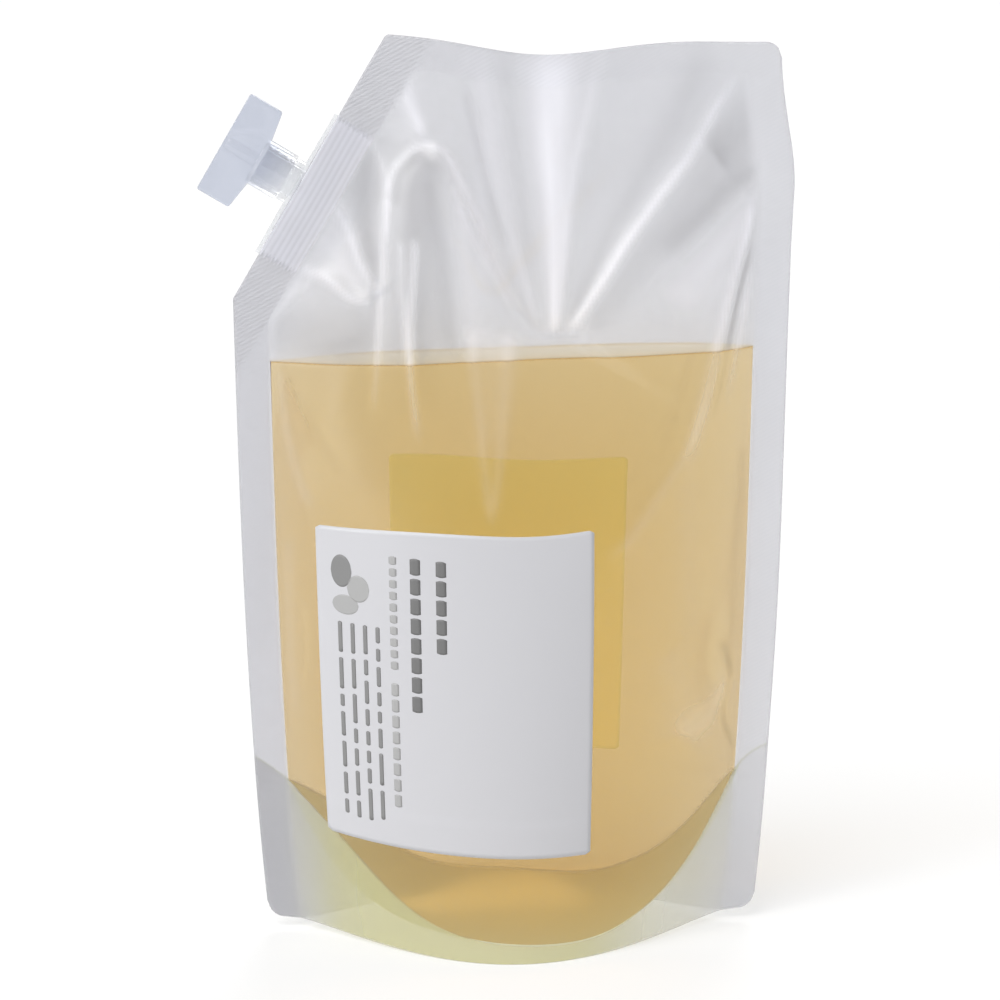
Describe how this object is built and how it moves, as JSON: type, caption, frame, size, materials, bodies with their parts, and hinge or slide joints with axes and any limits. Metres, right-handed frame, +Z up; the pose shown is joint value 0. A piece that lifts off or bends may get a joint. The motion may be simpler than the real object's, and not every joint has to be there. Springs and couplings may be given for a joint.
{
  "type": "liquid soap refill pouch",
  "caption": "Clear stand-up film pouch with a bottom gusset, a welded corner spout with a wing-handle screw cap, plain paper labels and amber liquid inside.",
  "frame": {"origin": "middle of the flat spot under the bottom gusset, on the surface the pouch stands on", "axes": "+X along the front towards the side away from the spout, -Y out of the front panel, +Z up"},
  "size_m": [0.1674, 0.0689, 0.2605],
  "materials": {
    "film": "milky clear laminated film, soft gloss",
    "spout_plastic": "natural polyethylene, translucent with a cool tint",
    "cap_plastic": "clear moulded polypropylene with a cool tint",
    "label_paper": "matt white coated paper",
    "soap": "clear amber liquid"
  },
  "bodies": {
    "pouch": {"front_panel": "film", "back_panel": "film", "bottom_gusset": "film", "spout_fitment": "spout_plastic", "front_label": "label_paper", "back_label": "label_paper", "liquid_soap": "soap"},
    "cap": {"twist_cap": "cap_plastic"}
  },
  "joints": [
    {"name": "cap_twist", "type": "hinge", "parent": "pouch", "child": "cap", "pos_m": [-0.05988, 0, 0.21906], "axis": [-0.8588, 0, 0.5123], "range_deg": [0, 630]}
  ]
}
